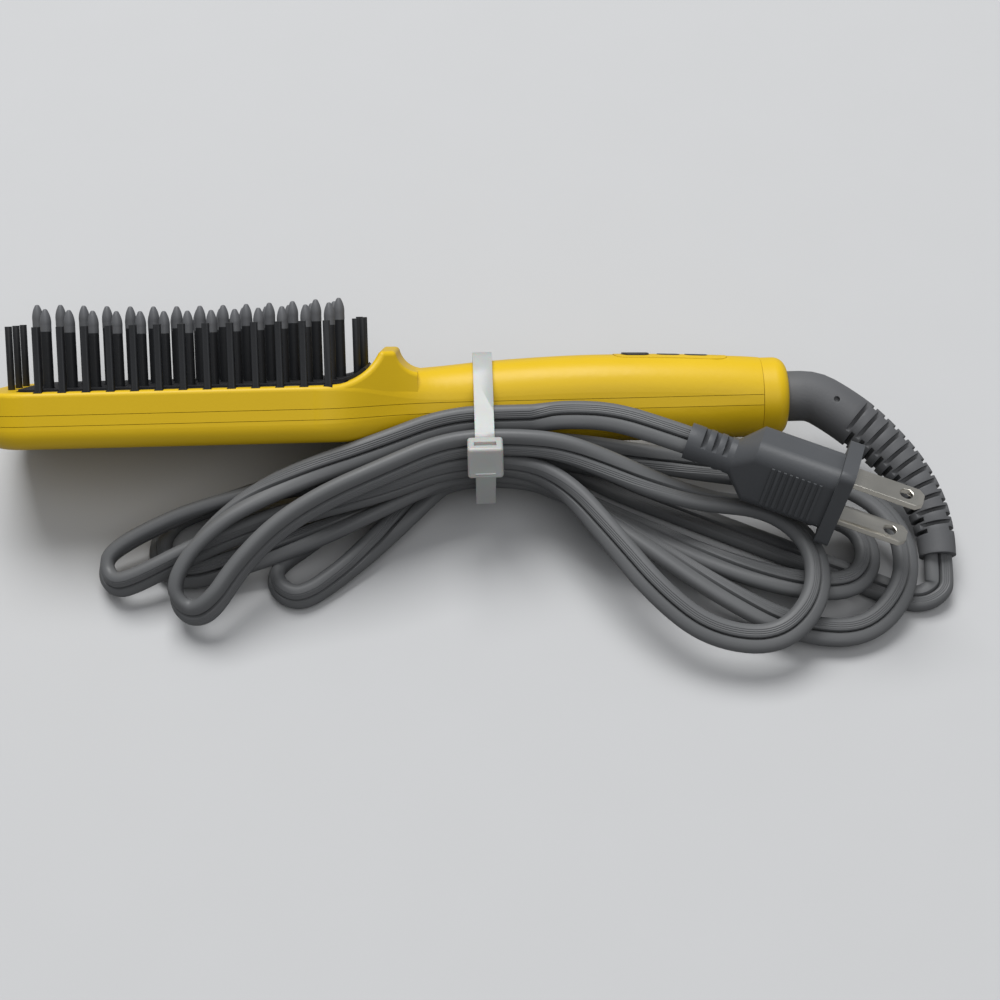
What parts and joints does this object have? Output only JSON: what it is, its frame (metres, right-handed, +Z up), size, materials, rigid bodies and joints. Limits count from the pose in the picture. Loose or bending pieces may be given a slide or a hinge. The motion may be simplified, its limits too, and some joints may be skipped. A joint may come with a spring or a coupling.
{
  "type": "heated straightening brush",
  "caption": "Heated hair-straightening brush lying on its side, with rows of heated and cool teeth, a button panel, a swivel cord and a two-blade plug tied in a hank.",
  "frame": {"origin": "centre of the bounding box of the brush and its tie, at the height of the table it lies on", "axes": "+X along the brush from the head to the cord's end, +Z up from the table, -Y towards the side where the hank lies; the teeth point up and towards +Y"},
  "size_m": [0.2449, 0.1016, 0.0524],
  "materials": {
    "body_front": "satin injection-moulded yellow",
    "body_back": "satin injection-moulded yellow",
    "body_band": "satin injection-moulded yellow, with fine parting lines",
    "body_collar": "satin injection-moulded yellow",
    "bed_plastic": "fine-grained near-black heat-proof plastic",
    "bar_plastic": "matt near-black plastic",
    "comb_metal": "matt black ceramic coat on aluminium",
    "tip_plastic": "matt grey heat-proof plastic",
    "plain_aluminium": "bare die-cast",
    "heater_ceramic": "wrapped ceramic heater strip",
    "mica": "pressed mica sheet",
    "screw_steel": "zinc-plated",
    "fuse_metal": "bright can",
    "bead_glass": "glass-like sealed bead",
    "wire_sleeve": "silicone-like wire sleeve",
    "board_green": "solder mask on glass-fibre board",
    "switch_black": "moulded switch plastic",
    "panel_black": "satin near-black panel",
    "button_black": "satin near-black key",
    "light_pipe": "clear light pipe",
    "contact_brass": "stamped contact",
    "washer_nylon": "natural nylon",
    "swivel_plastic": "matt dark grey plastic",
    "relief_rubber": "matt dark grey flexible moulding",
    "cord_jacket": "satin dark grey jacket",
    "plug_rubber": "satin dark grey moulding",
    "blade_nickel": "nickel-plated brass",
    "tie_nylon": "translucent natural nylon"
  },
  "bodies": {
    "housing": {"front_shell": "body_front", "back_shell": "body_back", "seam_band": "body_band", "end_collar": "body_collar", "bristle_bed": "bed_plastic", "side_bars_near": "bar_plastic", "side_bars_far": "bar_plastic", "front_pins": "bar_plastic", "rear_pins": "bar_plastic", "heated_comb_near": "comb_metal", "heated_comb_middle": "comb_metal", "heated_comb_far": "comb_metal", "cool_tips_near": "tip_plastic", "cool_tips_middle": "tip_plastic", "cool_tips_far": "tip_plastic", "heater_plate": "plain_aluminium", "heating_element": "heater_ceramic", "insulation_sheet": "mica", "clamp_plate": "plain_aluminium", "clamp_screws": "screw_steel", "thermal_fuse": "fuse_metal", "thermistor": "bead_glass", "heater_wires": "wire_sleeve", "thermistor_wire": "wire_sleeve", "contact_wires": "wire_sleeve", "control_board": "board_green", "tact_switches": "switch_black", "button_panel": "panel_black", "indicator_light": "light_pipe", "body_screws": "screw_steel", "contact_carrier": "switch_black", "contact_springs": "contact_brass", "swivel_washer": "washer_nylon", "cord_lead": "cord_jacket", "lead_run": "cord_jacket", "cord_hank": "cord_jacket", "plug_cord": "cord_jacket", "plug_body": "plug_rubber", "plug_blades": "blade_nickel", "cable_tie": "tie_nylon"},
    "cord_swivel": {"swivel_barrel": "swivel_plastic", "contact_pin": "contact_brass", "strain_relief": "relief_rubber"},
    "power_button_body": {"power_button": "button_black"},
    "temp_up_button_body": {"temp_up_button": "button_black"},
    "temp_down_button_body": {"temp_down_button": "button_black"}
  },
  "joints": [
    {"name": "cord_swivel_turn", "type": "hinge", "parent": "housing", "child": "cord_swivel", "pos_m": [0.1005, -0.00155, 0.02044], "axis": [1, 0, 0], "continuous": true, "deforming": ["cord_lead"]},
    {"name": "power_button_press", "type": "slide", "parent": "housing", "child": "power_button_body", "axis": [0, -0.7431, -0.6691], "range_m": [0, 0.0005], "stiffness_N_per_m": 3000},
    {"name": "temp_up_button_press", "type": "slide", "parent": "housing", "child": "temp_up_button_body", "axis": [0, -0.7431, -0.6691], "range_m": [0, 0.0005], "stiffness_N_per_m": 3000},
    {"name": "temp_down_button_press", "type": "slide", "parent": "housing", "child": "temp_down_button_body", "axis": [0, -0.7431, -0.6691], "range_m": [0, 0.0005], "stiffness_N_per_m": 3000}
  ]
}
